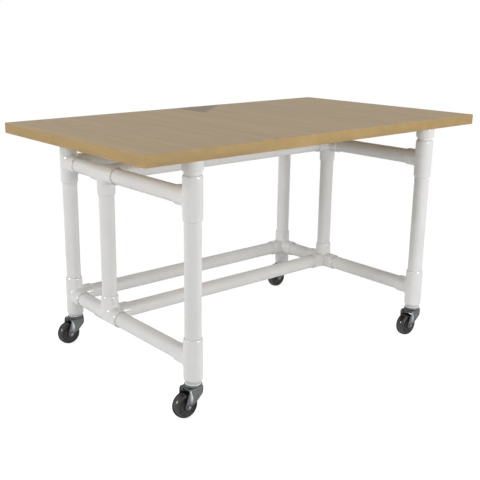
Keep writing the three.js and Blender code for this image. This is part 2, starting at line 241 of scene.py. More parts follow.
# %% Lamps
LAMP_AIM = Vector((0, 0, 0.5))
LAMPS = (
    ("lamp_left", (-4.63, 1.13, 2.02), (0.80, 1.50), 79.0),
    ("lamp_front", (0.50, -2.35, 0.95), (1.00, 0.60), 21.0),
)
for name, location, (width, height), power in LAMPS:
    bpy.ops.object.light_add(type="AREA", location=location)
    lamp = bpy.context.object
    lamp.name = name
    lamp.data.shape = "RECTANGLE"
    lamp.data.size = width
    lamp.data.size_y = height
    lamp.data.energy = power
    aim = LAMP_AIM - Vector(location)
    lamp.rotation_euler = aim.to_track_quat("-Z", "Y").to_euler()
    print(name, power, "W")

# %% [markdown]
# ## Bench tools
#
# The pieces are modelled as by hand, with operators in edit mode. An operator acts on all that is
# selected, so one tool, pick, selects by a test on each face, edge or corner. The others are short
# names for steps that come often, up to handing a piece over to the frame in place of a CAD node.

# %% Bench tools
def deselect():
    bpy.ops.object.select_all(action="DESELECT")


def select_only(piece):
    deselect()
    piece.select_set(True)
    bpy.context.view_layer.objects.active = piece


def select_all():
    bpy.ops.mesh.select_all(action="SELECT")


def mode(name):
    bpy.ops.object.mode_set(mode=name)


def settle():
    bpy.ops.object.transform_apply(location=True, rotation=True, scale=True)


def pick(piece, kind, test):
    bpy.ops.mesh.select_mode(type={"verts": "VERT", "edges": "EDGE", "faces": "FACE"}[kind])
    bpy.ops.mesh.select_all(action="DESELECT")
    net = bmesh.from_edit_mesh(piece.data)
    net.normal_update()
    for element in getattr(net, kind):
        if test(element):
            element.select_set(True)
    net.select_flush_mode()
    bmesh.update_edit_mesh(piece.data)


def apply_modifier(piece, kind, **options):
    select_only(piece)
    modifier = piece.modifiers.new(kind.lower(), kind)
    for option, value in options.items():
        setattr(modifier, option, value)
    bpy.ops.object.modifier_apply(modifier=modifier.name)


def combine(piece, operation, tool):
    apply_modifier(piece, "BOOLEAN", operation=operation, solver="EXACT", object=tool)
    bpy.data.objects.remove(tool)


def smooth_shaded(piece, degrees=32):
    select_only(piece)
    bpy.ops.object.shade_smooth_by_angle(angle=math.radians(degrees))


def copy_of(original, name, place):
    piece = original.copy()
    piece.data = original.data.copy()
    piece.data.transform(place)
    piece.name = name
    piece.data.name = name
    scene.collection.objects.link(piece)
    return piece


def stands_for(piece, node):
    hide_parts(node)
    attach(piece, frame["nodes"][node]["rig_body"])


def centre_of(node):
    low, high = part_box(node)
    return (low + high) / 2


print(len(frame["nodes"]), "CAD nodes to dress")

# %% [markdown]
# ## Helpers for finishes
#
# The finishes have steps in common: a colour that drifts between two tones, a roughness that varies
# a little, and a fine bump. A noise lies mostly between 0.3 and 0.7, so its steps are stretched
# over that range. Worn plastic doesn't mirror the room at a glancing angle, so the last helper lets
# the gloss fade out towards the outline of a piece.

# %% Finish helpers
NOISE_LOW, NOISE_HIGH = 0.3, 0.7
MIX_SHARE, MIX_UNDER, MIX_OVER, MIX_RESULT = 0, 6, 7, 2
GLOSS_FADE_START = 0.35


def new_finish(name):
    finish = bpy.data.materials.new(name)
    finish.use_nodes = True
    tree = finish.node_tree
    place = add_node(tree, "ShaderNodeTexCoord").outputs["Object"]
    return finish, tree, tree.nodes["Principled BSDF"], place


def mixed(tree, share, under, over):
    inputs = {MIX_SHARE: share, MIX_UNDER: under, MIX_OVER: over}
    return add_node(tree, "ShaderNodeMix", inputs, data_type="RGBA").outputs[MIX_RESULT]


def two_tones(tree, share, deep, pale):
    return ramp(tree, share, (NOISE_LOW, deep), (NOISE_HIGH, pale))


def roughened(tree, shader, share, polish, spread):
    rough = map_range(tree, share, NOISE_LOW, NOISE_HIGH, polish, polish + spread)
    tree.links.new(rough, shader.inputs["Roughness"])


def bumped(tree, shader, height, strength, depth):
    inputs = {"Height": height, "Strength": strength, "Distance": depth}
    bump = add_node(tree, "ShaderNodeBump", inputs)
    tree.links.new(bump.outputs["Normal"], shader.inputs["Normal"])


def gloss_fading_to_outline(tree, shader, shine, gone=0.90):
    facing = add_node(tree, "ShaderNodeLayerWeight", {"Blend": 0.5}).outputs["Facing"]
    fading = map_range(tree, facing, GLOSS_FADE_START, gone, shine, 0.0)
    tree.links.new(fading, shader.inputs["Specular IOR Level"])


print("finish helpers ready")

# %% [markdown]
# ## The finish of the plastic
#
# The pipe and the fittings are the same hard white plastic. It is smooth and glossy, but never one
# flat white: the colour drifts a little along a pipe, handling leaves it slightly duller in places,
# and moulding leaves the surface faintly wavy. An image texture would need unwrapping, while noises
# in object coordinates give all this without. The short pipes just above the casters are painted
# grey towards their lower end: painted shade in the recess between the fitting's lip and the plug.

# %% White plastic
# Painted shade on the foot pipes: below the first height the colour turns grey, fully at the second.
RECESS_SHADE_TOP = 0.118
RECESS_SHADE_FULL = 0.108
RECESS_SHADE_GREY = (0.35, 0.34, 0.33, 1)


def plastic_finish(name, pale, deep, gloss, shine, wave, recess_shade=0.0):
    finish, tree, shader, place = new_finish(name)
    tint = two_tones(tree, noise(tree, place, scale=9.0, detail=4.0), deep, pale)
    height = add_node(tree, "ShaderNodeSeparateXYZ", {"Vector": place}).outputs["Z"]
    # Painted shade low on the foot pipes, where they sit in the recess above the plug.
    painted_recess_shade = map_range(tree, height, RECESS_SHADE_TOP, RECESS_SHADE_FULL, 0.0, recess_shade)
    tree.links.new(mixed(tree, painted_recess_shade, tint, RECESS_SHADE_GREY), shader.inputs["Base Color"])
    handled = noise(tree, place, scale=35.0, detail=5.0)
    roughened(tree, shader, handled, gloss, spread=0.08)
    ripple = noise(tree, place, scale=60.0, detail=2.0)
    bumped(tree, shader, ripple, wave, depth=0.0004)
    gloss_fading_to_outline(tree, shader, shine)
    return finish


pipe_white = plastic_finish(
    "white_pipe", (0.80, 0.80, 0.79), (0.76, 0.76, 0.75), gloss=0.36, shine=0.5, wave=0.15, recess_shade=0.5
)
fitting_white = plastic_finish(
    "white_fitting", (0.79, 0.79, 0.78), (0.75, 0.75, 0.74), gloss=0.09, shine=1.0, wave=0.15
)
plug_white = plastic_finish(
    "white_plug", (0.96, 0.97, 0.96), (0.93, 0.94, 0.93), gloss=0.20, shine=0.5, wave=0.1
)
print("plastics:", pipe_white.name, fitting_white.name, plug_white.name)

# %% [markdown]
# ## The worktop slab
#
# The worktop is one plain slab whose edges were eased with a router. One bevel modifier would round
# everything alike, so a cube of the CAD size first gets a small radius on its four upright corners.
# Then its long edges are eased, and that bevel runs round the corners in one loop. A very narrow
# inset at the end keeps the flat faces flat, so that only the eased edges catch the light.

# %% Worktop slab
CORNER_RADIUS = 2.5 * MM
EDGE_EASE = 1.6 * MM
FLAT_INSET = 0.3 * MM
LARGE_FACE = 0.01


def is_upright(edge):
    return abs(edge.verts[0].co.z - edge.verts[1].co.z) > 10 * MM


def is_rim(edge):
    slopes = [abs(face.normal.z) for face in edge.link_faces]
    return any(slope > 0.9 for slope in slopes) and any(slope < 0.1 for slope in slopes)


low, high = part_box("worktop")
bpy.ops.mesh.primitive_cube_add(size=1, location=(low + high) / 2, scale=high - low)
worktop = bpy.context.object
worktop.name = "worktop_slab"
settle()
mode("EDIT")
pick(worktop, "edges", is_upright)
bpy.ops.mesh.bevel(offset=CORNER_RADIUS, segments=4, affect="EDGES")
pick(worktop, "edges", is_rim)
bpy.ops.mesh.bevel(offset=EDGE_EASE, segments=4, affect="EDGES")
pick(worktop, "faces", lambda face: face.calc_area() > LARGE_FACE)
bpy.ops.mesh.inset(thickness=FLAT_INSET, use_individual=True)
mode("OBJECT")
smooth_shaded(worktop, degrees=40)
stands_for(worktop, "worktop")
print("worktop", [round(v / MM, 1) for v in worktop.dimensions], "mm")

# %% [markdown]
# ## The finish of the wood
#
# The boards run from front to back, so the left end shows long grain and the front edge shows the
# ends of the boards. A wave texture would give stripes that don't meet at the edges, so the grain
# is made as it grows: each board is cut from a log whose rings circle a line somewhere below it,
# the pith. The same rings then show as long figures on the top and as arcs on the front edge.

# %% Boards
BOARD_WIDTH = 0.085
PITH_SPREAD = 0.16
PITH_LEVEL = 0.75
PITH_DEPTH = 0.03
PITH_DEEPER = 0.12


def times(first, second):
    return math_node(tree, "MULTIPLY", first, second)


def plus(first, second):
    return math_node(tree, "ADD", first, second)


def less(first, second):
    return math_node(tree, "SUBTRACT", first, second)


wood, tree, shader, place = new_finish("satin_wood")
across = add_node(tree, "ShaderNodeSeparateXYZ", {"Vector": place}).outputs
board = math_node(tree, "FLOOR", math_node(tree, "DIVIDE", across["X"], BOARD_WIDTH))
chance = add_node(tree, "ShaderNodeTexWhiteNoise", {"W": board}, noise_dimensions="1D")
luck = add_node(tree, "ShaderNodeSeparateColor", {"Color": chance.outputs["Color"]}).outputs
middle = times(plus(board, 0.5), BOARD_WIDTH)
pith_side = times(less(luck[0], 0.5), PITH_SPREAD)
pith_depth = math_node(tree, "MULTIPLY_ADD", luck[1], PITH_DEEPER, PITH_DEPTH)
ring_x = less(less(across["X"], middle), pith_side)
ring_z = plus(less(across["Z"], PITH_LEVEL), pith_depth)
print("boards", BOARD_WIDTH / MM, "mm wide")

# %% [markdown]
# The distance from the pith gives the rings: each darkens slowly to its late wood and starts again.
# A noise lets them wander. Fine fibres and slow streaks are noises too, stretched along the boards.

# %% Rings, fibres and streaks
BLACK = (0, 0, 0, 1)
RING_PITCH = 0.0052
RING_WANDER = 0.05
LATE_WOOD = 0.85


def stretched_noise(tree, place, scale, detail):
    stretch = add_node(tree, "ShaderNodeMapping", {"Vector": place, "Scale": scale})
    return noise(tree, stretch.outputs[0], 1.0, detail)


wander = stretched_noise(tree, place, (9.0, 1.3, 9.0), detail=3.0)
drifted = times(less(wander, 0.5), RING_WANDER)
point = add_node(tree, "ShaderNodeCombineXYZ", {"X": ring_x, "Y": ring_z}).outputs[0]
reach = add_node(tree, "ShaderNodeVectorMath", {0: point}, operation="LENGTH").outputs["Value"]
ring = math_node(tree, "FRACT", math_node(tree, "DIVIDE", plus(reach, drifted), RING_PITCH))
late_wood = ramp(tree, ring, (0.0, BLACK), (LATE_WOOD, WHITE), (1.0, BLACK))
fibre = stretched_noise(tree, place, (420.0, 14.0, 420.0), detail=3.0)
streak = stretched_noise(tree, place, (34.0, 1.6, 34.0), detail=4.0)
print("rings every", RING_PITCH / MM, "mm")

# %% [markdown]
# Rings, fibres, streaks and a tone for each board are added up with a weight each, and a ramp turns
# the sum into colour. Mixing the colours one by one would do it too, but then each weight would
# change all the others. A thin satin coat lies over the wood.

# %% Wood colour and coat
PALE_WOOD = (0.575, 0.392, 0.163, 1)
DEEP_WOOD = (0.395, 0.255, 0.094, 1)
PALE_END, DEEP_END = 0.30, 0.85
WOOD_ROUGHNESS = (0.54, 0.66)
FIGURE = ((late_wood, 0.22), (fibre, 0.30), (streak, 0.50), (luck[2], 0.12))

figure, *others = [times(part, weight) for part, weight in FIGURE]
for other in others:
    figure = plus(figure, other)
shade = ramp(tree, figure, (PALE_END, PALE_WOOD), (DEEP_END, DEEP_WOOD))
tree.links.new(map_range(tree, fibre, 0.0, 1.0, *WOOD_ROUGHNESS), shader.inputs["Roughness"])
bumped(tree, shader, fibre, strength=0.15, depth=0.0003)
shader.inputs["Coat Weight"].default_value = 0.10
shader.inputs["Coat Roughness"].default_value = 0.45
worktop.data.materials.append(wood)
print("wood finish on", worktop.name)

# %% [markdown]
# The marks are laid over the wood. They could be painted on an image, but a few masks made from
# the coordinates stay sharp at any size. The top has the thicker coat, and its colour is paled a
# little towards a light tan, a painted sheen of the pale surroundings. Near the back edge there is a
# dark grey patch with a slanting side: it lies between a line across the board and a slanting line,
# both softened and made to wander.

# %% Painted sheen and dark patch on the top
TOP_SHINE, EDGE_SHINE = 0.66, 0.35
SHEEN_WOOD, SHEEN_SHARE = (0.87, 0.74, 0.61, 1), 0.12
DARK_PATCH_WOOD, DARK_PATCH_SHARE = (0.170, 0.122, 0.076, 1), 0.85
DARK_PATCH_SIDE = -0.015
DARK_PATCH_FRONT = 0.205
DARK_PATCH_SLANT = 0.85
DARK_PATCH_WOBBLE = 0.03
EASE_START = 0.2 * EDGE_EASE

low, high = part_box("worktop")
on_edge = soft_step(tree, across["Z"], high.z - EASE_START, high.z - EDGE_EASE)
on_top = less(1.0, on_edge)
coated = math_node(tree, "MULTIPLY_ADD", on_top, TOP_SHINE - EDGE_SHINE, EDGE_SHINE)
tree.links.new(coated, shader.inputs["Specular IOR Level"])
# Painted sheen: the top is mixed a little towards a pale tan.
sheened = mixed(tree, times(on_top, SHEEN_SHARE), shade, SHEEN_WOOD)

# A dark grey patch near the back edge, between a line across the board and a slanting line.
blur = noise(tree, place, scale=30.0, detail=3.0)
wobble = times(less(blur, 0.5), DARK_PATCH_WOBBLE)
patch_x = plus(less(across["X"], DARK_PATCH_SIDE), wobble)
front_line = math_node(tree, "MULTIPLY_ADD", patch_x, DARK_PATCH_SLANT, DARK_PATCH_FRONT)
patch_y = plus(less(across["Y"], front_line), wobble)
beside = soft_step(tree, patch_x, -0.010, 0.012)
behind = soft_step(tree, patch_y, -0.012, 0.022)
dark_patch = times(times(beside, behind), on_top)
with_dark_patch = mixed(tree, times(dark_patch, DARK_PATCH_SHARE), sheened, DARK_PATCH_WOOD)
print("film and bloom laid over", wood.name)

# %% [markdown]
# The edges are a little darker, most of all at the right and at the back, and their lower part is
# darker still in long soft patches, a painted shade towards the underside, which itself is left
# out. The four upright corners get a painted highlight: their rounding is painted paler.

# %% Darker edges, painted shade and painted corner highlights
DARK_EDGE_WOOD, LOWER_SHADE_SHARE = (0.33, 0.225, 0.095, 1), 0.7
LOWER_SHADE_DEPTH = 0.35
EDGE_SHARE, FAR_EDGE_MORE = 0.31, 0.22
CORNER_HIGHLIGHT_SHARE = 0.5

patch = stretched_noise(tree, place, (8.0, 8.0, 30.0), detail=4.0)
lower_part = soft_step(tree, across["Z"], high.z - LOWER_SHADE_DEPTH * (high.z - low.z), low.z)
off_underside = soft_step(tree, across["Z"], low.z + EASE_START, low.z + EDGE_EASE)
# Painted shade: soft patches on the lower part of the edges, not on the underside.
lower_shade = times(times(soft_step(tree, patch, 0.44, 0.60), lower_part), off_underside)
rightwards = soft_step(tree, across["X"], -0.1, 0.6)
backwards = soft_step(tree, across["Y"], -0.3, 0.2)
far_edges = math_node(tree, "MAXIMUM", rightwards, backwards)
edge_share = math_node(tree, "MULTIPLY_ADD", far_edges, FAR_EDGE_MORE, EDGE_SHARE)
darkened = mixed(tree, times(on_edge, edge_share), with_dark_patch, DARK_EDGE_WOOD)
lower_shaded = mixed(tree, times(lower_shade, LOWER_SHADE_SHARE), darkened, DARK_EDGE_WOOD)
# Painted highlight: the rounded upright corners are mixed towards the pale wood.
at_corner = []
for axis, side in (("X", high.x), ("Y", high.y)):
    out = math_node(tree, "ABSOLUTE", across[axis])
    at_corner.append(soft_step(tree, out, side - 2 * CORNER_RADIUS, side - 0.5 * CORNER_RADIUS))
painted_highlight = times(times(*at_corner), on_edge)
with_corner_highlight = mixed(tree, times(painted_highlight, CORNER_HIGHLIGHT_SHARE), lower_shaded, PALE_WOOD)
tree.links.new(with_corner_highlight, shader.inputs["Base Color"])
print("edges worn on", wood.name)

# %% [markdown]
# ## The pipes
#
# Each pipe is cut from the same stock. A smaller cylinder could be cut out of a larger one, but a
# tube without ends gets an even wall from a solidify modifier, inwards from the true outside
# diameter. A bevel takes the saw's burr off both rims. Pipes of one length and direction are made
# once and copied.

# %% Pipes
PIPE_SIDES = 64
PIPE_WALL = 3.7 * MM
RIM_EASE = 0.6 * MM
RIM_ANGLE = math.radians(50)
TURN_TO_AXIS = ((0, math.pi / 2, 0), (math.pi / 2, 0, 0), (0, 0, 0))
PIPE_AXES = {"long_rail": 0, "end_rail": 1, "leg": 2, "riser": 2, "foot_pipe": 2}


def make_pipe(node, axis):
    low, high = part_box(node)
    size = high - low
    deselect()
    bpy.ops.mesh.primitive_cylinder_add(
        vertices=PIPE_SIDES,
        radius=size[(axis + 1) % 3] / 2,
        depth=size[axis],
        end_fill_type="NOTHING",
        location=(low + high) / 2,
        rotation=TURN_TO_AXIS[axis],
    )
    pipe = bpy.context.object
    settle()
    apply_modifier(pipe, "SOLIDIFY", thickness=PIPE_WALL, offset=-1)
    rim = {"width": RIM_EASE, "segments": 2, "limit_method": "ANGLE", "angle_limit": RIM_ANGLE}
    apply_modifier(pipe, "BEVEL", **rim)
    smooth_shaded(pipe, degrees=20)
    pipe.data.materials.append(pipe_white)
    return pipe


pipes_by_length = {}
for node in sorted(frame["nodes"]):
    kinds = [kind for kind in PIPE_AXES if node.startswith(kind)]
    if not kinds:
        continue
    axis = PIPE_AXES[kinds[0]]
    low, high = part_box(node)
    stock = (axis, round((high - low)[axis] / MM, 1))
    if stock not in pipes_by_length:
        pipe = make_pipe(node, axis)
        pipes_by_length[stock] = (pipe, (low + high) / 2)
    else:
        first, first_centre = pipes_by_length[stock]
        pipe = copy_of(first, node, Matrix.Translation((low + high) / 2 - first_centre))
    pipe.name = node + "_tube"
    pipe.data.name = pipe.name
    stands_for(pipe, node)
print("pipe stock (axis, length in mm):", sorted(pipes_by_length))

# %% [markdown]
# ## The socket fittings
#
# A moulded tee is a straight run with an outlet that flows into it. A boolean union of tubes would
# leave a hard crease between them. So closed cylinders, one for each arm, are joined and remeshed,
# which fuses them into one skin of small even faces. A short piece of code then draws every corner
# of that skin on to the rounded surface between the arms, which no single operator does.

# %% Flow between the arms
FITTING_RADIUS = 28.0 * MM
FLOW = 7.0 * MM
OUTLET_START = 14.0 * MM
PROBE = 0.02 * MM
PASSES = 6


def read_points(piece):
    points = np.empty(len(piece.data.vertices) * 3)
    piece.data.vertices.foreach_get("co", points)
    return points.reshape(-1, 3)


def write_points(piece, points):
    piece.data.vertices.foreach_set("co", points.ravel())
    piece.data.update()


def distance_outside(points, outlets):
    outside = np.hypot(points[:, 0], points[:, 1]) - FITTING_RADIUS
    for way in outlets:
        along = np.maximum(points @ way, OUTLET_START)
        arm = np.linalg.norm(points - np.outer(along, way), axis=1) - FITTING_RADIUS
        overlap = np.clip(FLOW - np.abs(outside - arm), 0, None) / FLOW
        outside = np.minimum(outside, arm) - overlap**2 * FLOW / 4
    return outside


def draw_on_to_flow(piece, outlets):
    points = read_points(piece)
    for _ in range(PASSES):
        gap = distance_outside(points, outlets)
        probes = [distance_outside(points + PROBE * axis, outlets) for axis in np.eye(3)]
        slope = np.stack([(probe - gap) / PROBE for probe in probes], 1)
        points -= gap[:, None] * slope / (slope**2).sum(1)[:, None]
    write_points(piece, points)


print("arms of", FITTING_RADIUS / MM, "mm radius flow together over", FLOW / MM, "mm")

# %% [markdown]
# The run stands upright and the outlets start at its middle. All arms are a little too long at
# first, because their ends are cut square later.

# %% Fitting skin
FITTING_SIDES = 96
SKIN_FACE = 1.6 * MM
SPARE = 7.0 * MM


def fused_skin(name, run_reach, outlet_reach, outlets):
    deselect()
    bpy.ops.mesh.primitive_cylinder_add(
        vertices=FITTING_SIDES, radius=FITTING_RADIUS, depth=2 * (run_reach + SPARE)
    )
    run = bpy.context.object
    arms = [run]
    for way in outlets:
        depth = outlet_reach + SPARE
        bpy.ops.mesh.primitive_cylinder_add(
            vertices=FITTING_SIDES,
            radius=FITTING_RADIUS,
            depth=depth,
            location=Vector(way) * depth / 2,
            rotation=Vector((0, 0, 1)).rotation_difference(Vector(way)).to_euler(),
        )
        arms.append(bpy.context.object)
    for arm in arms:
        arm.select_set(True)
    bpy.context.view_layer.objects.active = run
    bpy.ops.object.join()
    settle()
    run.name = name
    apply_modifier(run, "REMESH", mode="VOXEL", voxel_size=SKIN_FACE)
    apply_modifier(run, "SMOOTH", factor=0.5, iterations=6)
    draw_on_to_flow(run, [np.array(way, float) for way in outlets])
    return run


print("skin faces of", SKIN_FACE / MM, "mm")

# %% [markdown]
# The lip of each socket narrows towards its mouth, and the mouth has a small countersink that
# guides the pipe in. Seen from outside it is the thin dark seam round every pipe. A turned ring
# could be stuck on, but extruding from the cut face keeps the fitting one skin. The profile gives,
# from the cut face outwards and then down into the socket, how far along the arm each ring lies and
# its radius, in millimetres.

# %% Lips and sockets
SOCKET_RADIUS = 24.4 * MM
SOCKET_DEPTH = 34.0 * MM
LIP_LENGTH = 7.0 * MM
LIP_PROFILE = (
    (0.5, 27.97), (1.5, 27.85), (2.8, 27.55), (4.0, 27.15), (5.0, 26.70), (5.8, 26.25), (6.4, 25.85),
    (6.8, 25.55), (7.0, 25.30), (6.9, 25.2), (6.4, 25.15), (3.4, 25.1), (3.2, 24.4),
)
CUT_SLACK = 0.2 * MM


def open_socket(piece, way, reach):
    way = Vector(way)
    cut = reach - LIP_LENGTH

    def on_cut(face):
        off = abs(face.calc_center_median().dot(way) - cut)
        return face.normal.dot(way) > 0.99 and off < CUT_SLACK

    select_only(piece)
    mode("EDIT")
    select_all()
    bpy.ops.mesh.bisect(plane_co=way * cut, plane_no=way, use_fill=True, clear_outer=True)
    pick(piece, "faces", on_cut)
    crosswise = [1 - abs(v) for v in way]
    here, radius = 0.0, FITTING_RADIUS
    rings = [(along * MM, ring * MM) for along, ring in LIP_PROFILE]
    rings.append((LIP_LENGTH - SOCKET_DEPTH, SOCKET_RADIUS))
    for along, ring in rings:
        bpy.ops.mesh.extrude_region_move(TRANSFORM_OT_translate={"value": way * (along - here)})
        scale = [1 + (ring / radius - 1) * part for part in crosswise]
        bpy.ops.transform.resize(value=scale, center_override=way * (cut + along))
        here, radius = along, ring
    mode("OBJECT")


print("sockets", SOCKET_DEPTH / MM, "mm deep")

# %% [markdown]
# Two patterns are enough for all twelve fittings: a plain tee with one outlet, and a side-outlet
# tee with two. Their reach comes from the CAD boxes.

# %% Tees
def make_fitting(name, run_reach, outlet_reach, outlets):
    fitting = fused_skin(name, run_reach, outlet_reach, outlets)
    for way in ((0, 0, 1), (0, 0, -1)):
        open_socket(fitting, way, run_reach)
    for way in outlets:
        open_socket(fitting, way, outlet_reach)
    smooth_shaded(fitting, degrees=35)
    fitting.data.materials.append(fitting_white)
    print(name, len(fitting.data.polygons), "faces with its sockets")
    return fitting


low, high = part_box("tee_top_front_left")
tee_run_reach = (high.z - low.z) / 2
tee_outlet_reach = high.y - low.y - FITTING_RADIUS
plain_tee = make_fitting("plain_tee", tee_run_reach, tee_outlet_reach, [(0, 1, 0)])
low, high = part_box("side_tee_top_back_left")
corner_reach = (high.z - low.z) / 2
side_tee = make_fitting("side_outlet_tee", corner_reach, corner_reach, [(1, 0, 0), (0, 1, 0)])
print("reach of the tees in mm:", round(tee_outlet_reach / MM, 2), round(corner_reach / MM, 2))

# %% [markdown]
# All four plain tees stand the same way. The side-outlet tees are turned: the first outlet always
# points to the other end of the table, the second one points forwards on the back legs, and along
# the leg on the middle legs.

# %% Place the fittings
def fitting_place(level, leg, side):
    post = centre_of(f"leg_{leg}_{side}")
    rail = centre_of(f"long_rail_{level}_back")
    return Matrix.Translation((post.x, post.y, rail.z))


for level in ("top", "bottom"):
    for side in ("left", "right"):
        node = f"tee_{level}_front_{side}"
        piece = copy_of(plain_tee, node + "_moulding", fitting_place(level, "front", side))
        stands_for(piece, node)
        inward = Vector((1 if side == "left" else -1, 0, 0))
        legward = Vector((0, 0, -1 if level == "top" else 1))
        for leg, second in (("middle", legward), ("back", Vector((0, -1, 0)))):
            node = f"side_tee_{level}_{leg}_{side}"
            turn = Matrix((inward, second, inward.cross(second))).transposed().to_4x4()
            spot = fitting_place(level, leg, side)
            piece = copy_of(side_tee, node + "_moulding", spot @ turn)
            stands_for(piece, node)
for pattern in (plain_tee, side_tee):
    bpy.data.objects.remove(pattern)
print("12 fittings placed")

# %% [markdown]
# ## Turned pieces
#
# Caps, plugs, swivel races and wheels are all round, so one tool turns them. Stacked cylinders
# would do for plain ones, but a spun section shows every step and curve at once. The line of the
# section is drawn first: a plane is merged to a single corner, and the corner is extruded from
# point to point. Only in vertex mode does a lone corner stay selected. Soft corners are bevelled
# while it is still a line. Then the line is spun a full turn, and its seam and poles are merged. A
# section lists radius, height and softness in millimetres.

# %% Lathe
MERGE_GAP = 0.005 * MM
SAME_PLACE = 0.01 * MM
TURN_STEPS = 96


def drawn_line(points):
    deselect()
    bpy.ops.mesh.primitive_plane_add(size=MM)
    mode("EDIT")
    bpy.ops.mesh.select_mode(type="VERT")
    select_all()
    bpy.ops.mesh.merge(type="CENTER")
    bpy.ops.transform.translate(value=points[0])
    for start, end in zip(points, points[1:]):
        bpy.ops.mesh.extrude_vertices_move(TRANSFORM_OT_translate={"value": end - start})
    return bpy.context.object


def weld():
    select_all()
    bpy.ops.mesh.remove_doubles(threshold=MERGE_GAP)
    bpy.ops.mesh.normals_make_consistent(inside=False)


def turned(name, section, steps=TURN_STEPS, axis="Z"):
    along = Vector((0, 0, 1)) if axis == "Z" else Vector((0, 1, 0))
    points = [Vector((r * MM, 0, 0)) + along * (h * MM) for r, h, _ in section]
    piece = drawn_line(points)
    piece.name = name
    piece.data.name = name
    for point, (_, _, softness) in zip(points, section):
        if softness:
            pick(piece, "verts", lambda vert: (vert.co - point).length < SAME_PLACE)
            bpy.ops.mesh.bevel(offset=softness * MM, segments=4, affect="VERTICES")
    select_all()
    bpy.ops.mesh.spin(steps=steps, angle=2 * math.pi, center=(0, 0, 0), axis=along)
    weld()
    mode("OBJECT")
    smooth_shaded(piece)
    print(name, len(piece.data.polygons), "faces")
    return piece


print("lathe ready,", TURN_STEPS, "steps to a turn")

# %% [markdown]
# The table caps are the deepest white shadows in the photograph: short cups, a little wider than
# the fittings, that hold the worktop on the risers. Their lower rim is well rounded.

# %% Table caps
CAP_ROOF = 5

low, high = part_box("cap_front_left")
cap_height = (high.z - low.z) / MM
cap_radius = (high.x - low.x) / 2 / MM
cap_section = [
    (0, cap_height - CAP_ROOF, 0), (24.4, cap_height - CAP_ROOF, 0), (24.4, 1.2, 0),
    (25.3, 0, 0.2), (cap_radius, 0, 2.4), (cap_radius, cap_height, 0.8), (0, cap_height, 0),
]
cap = turned("table_cap", cap_section)
cap.data.materials.append(fitting_white)

# %% [markdown]
# The caster plug is a white bush pressed into the foot pipe. Only its flange shows, as a bright rim
# under the pipe. The rim is slightly domed at its edge.

# %% Caster plugs
low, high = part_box("caster_plug_front_left")
plug_height = (high.z - low.z) / MM
plug_section = [
    (5.8, 1.0, 0), (6.6, 0, 0), (24.6, 0, 0.7), (24.6, 2.2, 0.9), (20.15, 2.2, 0),
    (20.15, plug_height, 1.0), (5.8, plug_height, 0), (5.8, 1.0, 0),
]
plug = turned("caster_plug", plug_section)
plug.data.materials.append(plug_white)

# %% [markdown]
# Each of the four corners of the table gets a copy of both, at the foot of its CAD box.

# %% Place caps and plugs
CORNERS = [f"{leg}_{side}" for leg in ("front", "back") for side in ("left", "right")]
for corner in CORNERS:
    for pattern, kind, slot in ((cap, "cap", "fitting"), (plug, "caster_plug", "plug")):
        node = f"{kind}_{corner}"
        middle = centre_of(node)
        spot = Matrix.Translation((middle.x, middle.y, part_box(node)[0].z))
        stands_for(copy_of(pattern, node + "_moulding", spot), node)
for pattern in (cap, plug):
    bpy.data.objects.remove(pattern)
print("4 caps and 4 plugs placed")

# %% [markdown]
# ## The caster metals
#
# The forks are pressed from steel sheet and plated, which gives a dark grey with a slight green
# cast. It is brushed by the press tools and a little blotchy. The bolts are brighter zinc. On each
# rib, a mesh attribute made with the fork below mixes in a painted reflection, a purple grey, and a
# painted highlight, a brighter grey along its crest. A second material would end in a hard line.

# %% Metals
RIB_SHARE = 0.35
RIB_REFLECTION_GREY = (0.145, 0.145, 0.160)
RIB_HIGHLIGHT_GREY = (0.62, 0.61, 0.62)
BRUSH_SCALE = (1500.0, 1500.0, 120.0)
FINE_BUMP = {"strength": 0.1, "depth": 0.0001}


def metal_finish(name, pale, deep, polish, blotch):
    finish, tree, shader, place = new_finish(name)
    tint = two_tones(tree, noise(tree, place, blotch, detail=5.0), deep, pale)
    # On the rib, a painted reflection in purple grey and a painted highlight in brighter grey.
    painted_highlight = add_node(tree, "ShaderNodeAttribute", attribute_name="burnish").outputs["Fac"]
    painted_rib_tone = ramp(tree, painted_highlight, (RIB_SHARE, RIB_REFLECTION_GREY), (1.0, RIB_HIGHLIGHT_GREY))
    share = map_range(tree, painted_highlight, 0.0, RIB_SHARE)
    tree.links.new(mixed(tree, share, tint, painted_rib_tone), shader.inputs["Base Color"])
    brushed = stretched_noise(tree, place, BRUSH_SCALE, detail=2.0)
    roughened(tree, shader, brushed, polish, spread=0.12)
    bumped(tree, shader, brushed, **FINE_BUMP)
    shader.inputs["Metallic"].default_value = 1.0
    return finish


fork_steel = metal_finish(
    "plated_fork_steel", (0.160, 0.175, 0.172), (0.120, 0.135, 0.132), polish=0.52, blotch=90.0
)
bolt_zinc = metal_finish(
    "bright_bolt_zinc", (0.26, 0.26, 0.28), (0.20, 0.20, 0.22), polish=0.30, blotch=160.0
)
print("metals:", fork_steel.name, bolt_zinc.name)

# %% [markdown]
# ## The caster fork
#
# The fork is pressed from one sheet: a flat crown with two cheeks bent down from it, which lean in
# towards the axle. Three plates could be joined, but they would have no soft bend. So the line of
# the bend is extruded along the wheel, its front corners are drawn in, and the sheet gets its
# thickness.

